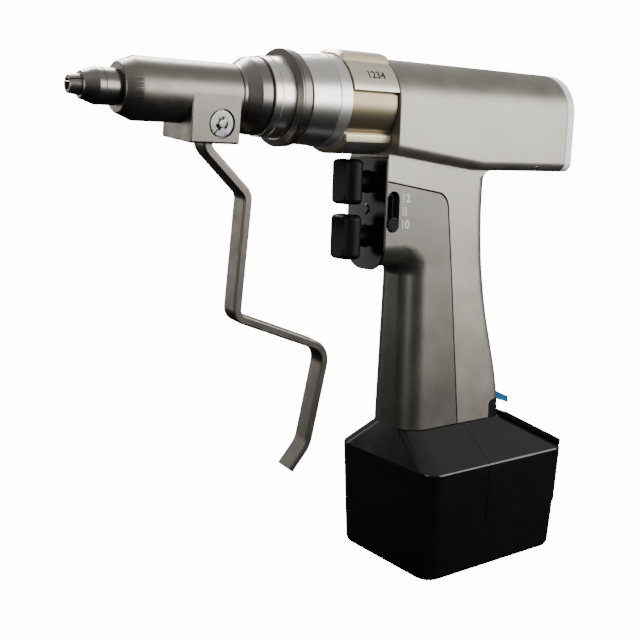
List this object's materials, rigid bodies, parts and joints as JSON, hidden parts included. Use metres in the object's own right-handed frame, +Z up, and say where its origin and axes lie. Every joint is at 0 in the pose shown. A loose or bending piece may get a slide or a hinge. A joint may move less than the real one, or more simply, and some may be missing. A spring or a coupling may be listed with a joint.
{
  "type": "surgical power drill",
  "caption": "Pistol-grip battery surgical drill with two triggers, a turning mode collar, a wire collet attachment with squeeze lever, and a slide-on battery.",
  "frame": {"origin": "centre of the battery's flat underside", "axes": "+Z up; -X towards the nose along the barrel; +X towards the rear cap; -Y is the drill's left side, the one with the speed selector"},
  "size_m": [0.257, 0.071, 0.2431],
  "materials": {
    "coated_aluminium": "matte warm grey coating",
    "cap_nylon": "satin near-white moulding",
    "polished_steel": "polished stainless steel",
    "dark_steel": "dark polished stainless steel",
    "satin_steel": "satin stainless steel",
    "collar_bronze": "satin champagne and bronze coated steel",
    "black_gloss": "glossy black moulding",
    "black_satin": "satin black moulding",
    "black_rubber": "matt black seal",
    "blue_plastic": "satin blue moulding",
    "spring_steel": "bright spring wire",
    "gear_steel": "ground steel",
    "copper": "enamelled copper winding",
    "contact_brass": "plated contact metal",
    "magnet": "plated magnet",
    "circuit_board": "green laminate",
    "capacitor_can": "sleeved aluminium can",
    "lead_insulation": "red insulation",
    "cell_can": "bare cell can"
  },
  "bodies": {
    "handpiece": {"main_housing": "coated_aluminium", "housing_screws": "satin_steel", "grip_front_shell": "coated_aluminium", "rear_cap": "cap_nylon", "trigger_plate": "black_gloss", "trigger_seals": "black_rubber", "trigger_module": "black_satin", "upper_trigger_spring": "spring_steel", "lower_trigger_spring": "spring_steel", "selector_guide": "black_satin", "nose_tube": "satin_steel", "barrel_sleeve": "polished_steel", "coupling_seal": "black_rubber", "attachment_flange": "polished_steel", "attachment_ring": "polished_steel", "attachment_flare": "dark_steel", "spindle_bearings": "gear_steel", "output_bearing": "gear_steel", "ring_gear": "gear_steel", "motor_front_plate": "satin_steel", "motor_rear_plate": "satin_steel", "rotor_bearings": "gear_steel", "stator_core": "magnet", "stator_winding": "copper", "cannula_tube": "satin_steel", "controller_board": "circuit_board", "capacitors": "capacitor_can", "power_leads": "lead_insulation", "contact_block": "black_satin", "contact_blades": "contact_brass", "latch_housing": "black_satin", "latch_pin": "satin_steel"},
    "upper_trigger": {"upper_trigger": "black_satin"},
    "lower_trigger": {"lower_trigger": "black_satin"},
    "speed_selector": {"speed_selector": "black_satin"},
    "mode_collar": {"mode_collar": "collar_bronze"},
    "swivel": {"swivel_sleeve": "satin_steel", "pivot_pin": "satin_steel", "pivot_clip": "dark_steel", "collet_spring": "spring_steel"},
    "collet_lever": {"collet_lever": "satin_steel"},
    "draw_sleeve": {"draw_sleeve": "gear_steel"},
    "spindle": {"collet_tip": "satin_steel", "nose_cone": "dark_steel", "collet_spindle": "gear_steel", "drive_socket": "gear_steel", "planet_carrier": "gear_steel"},
    "planet_1": {"planet_gear_1": "gear_steel"},
    "planet_2": {"planet_gear_2": "gear_steel"},
    "planet_3": {"planet_gear_3": "gear_steel"},
    "rotor": {"rotor_shaft": "gear_steel", "rotor_magnet": "magnet", "sun_gear": "gear_steel"},
    "battery": {"battery_tub": "black_gloss", "battery_lid": "black_gloss", "battery_rear_cover": "black_gloss", "battery_cells": "cell_can", "battery_board": "circuit_board", "battery_terminals": "contact_brass"},
    "release_latch": {"release_latch": "blue_plastic"}
  },
  "joints": [
    {"name": "upper_trigger_press", "type": "slide", "parent": "handpiece", "child": "upper_trigger", "axis": [1, 0, 0], "range_m": [0, 0.0065], "stiffness_N_per_m": 800, "springref_m": -0.002, "deforming": ["upper_trigger_spring"]},
    {"name": "lower_trigger_press", "type": "slide", "parent": "handpiece", "child": "lower_trigger", "axis": [1, 0, 0], "range_m": [0, 0.0065], "stiffness_N_per_m": 800, "springref_m": -0.002, "deforming": ["lower_trigger_spring"]},
    {"name": "speed_select", "type": "slide", "parent": "handpiece", "child": "speed_selector", "axis": [0, 0, 1], "range_m": [0, 0.0109]},
    {"name": "mode_turn", "type": "hinge", "parent": "handpiece", "child": "mode_collar", "pos_m": [-0.075, 0, 0.221], "axis": [-1, 0, 0], "range_deg": [-60, 0]},
    {"name": "sleeve_swivel", "type": "hinge", "parent": "handpiece", "child": "swivel", "pos_m": [-0.16, 0, 0.221], "axis": [-1, 0, 0], "continuous": true},
    {"name": "collet_squeeze", "type": "hinge", "parent": "swivel", "child": "collet_lever", "pos_m": [-0.1449, 0.00112, 0.21036], "axis": [0, -0.9945, -0.1045], "range_deg": [0, 12], "stiffness_Nm_per_rad": 0.3, "springref_deg": -5.73},
    {"name": "collet_draw", "type": "slide", "parent": "swivel", "child": "draw_sleeve", "axis": [-1, 0, 0], "range_m": [0, 0.00079], "deforming": ["collet_spring"]},
    {"name": "spindle_spin", "type": "hinge", "parent": "handpiece", "child": "spindle", "pos_m": [-0.14, 0, 0.221], "axis": [-1, 0, 0], "continuous": true},
    {"name": "rotor_spin", "type": "hinge", "parent": "handpiece", "child": "rotor", "pos_m": [-0.03, 0, 0.221], "axis": [-1, 0, 0], "continuous": true},
    {"name": "battery_pull", "type": "slide", "parent": "handpiece", "child": "battery", "axis": [0, 0, -1], "range_m": [0, 0.05]},
    {"name": "latch_press", "type": "hinge", "parent": "handpiece", "child": "release_latch", "pos_m": [0.014, 0, 0.0752], "axis": [0, 1, 0], "range_deg": [0, 8], "stiffness_Nm_per_rad": 0.1, "springref_deg": -5.73},
    {"name": "planet_1_spin", "type": "hinge", "parent": "spindle", "child": "planet_1", "pos_m": [-0.0555, 0, 0.2318], "axis": [-1, 0, 0], "continuous": true},
    {"name": "planet_2_spin", "type": "hinge", "parent": "spindle", "child": "planet_2", "pos_m": [-0.0555, 0.00935, 0.2156], "axis": [-1, 0, 0], "continuous": true},
    {"name": "planet_3_spin", "type": "hinge", "parent": "spindle", "child": "planet_3", "pos_m": [-0.0555, -0.00935, 0.2156], "axis": [-1, 0, 0], "continuous": true}
  ],
  "couplings": [
    {"joint": "rotor_spin", "follows": "spindle_spin", "ratio": 3.6},
    {"joint": "collet_draw", "follows": "collet_squeeze", "m_per_rad": 0.0037},
    {"joint": "planet_1_spin", "follows": "spindle_spin", "ratio": -3.25},
    {"joint": "planet_2_spin", "follows": "spindle_spin", "ratio": -3.25},
    {"joint": "planet_3_spin", "follows": "spindle_spin", "ratio": -3.25}
  ]
}
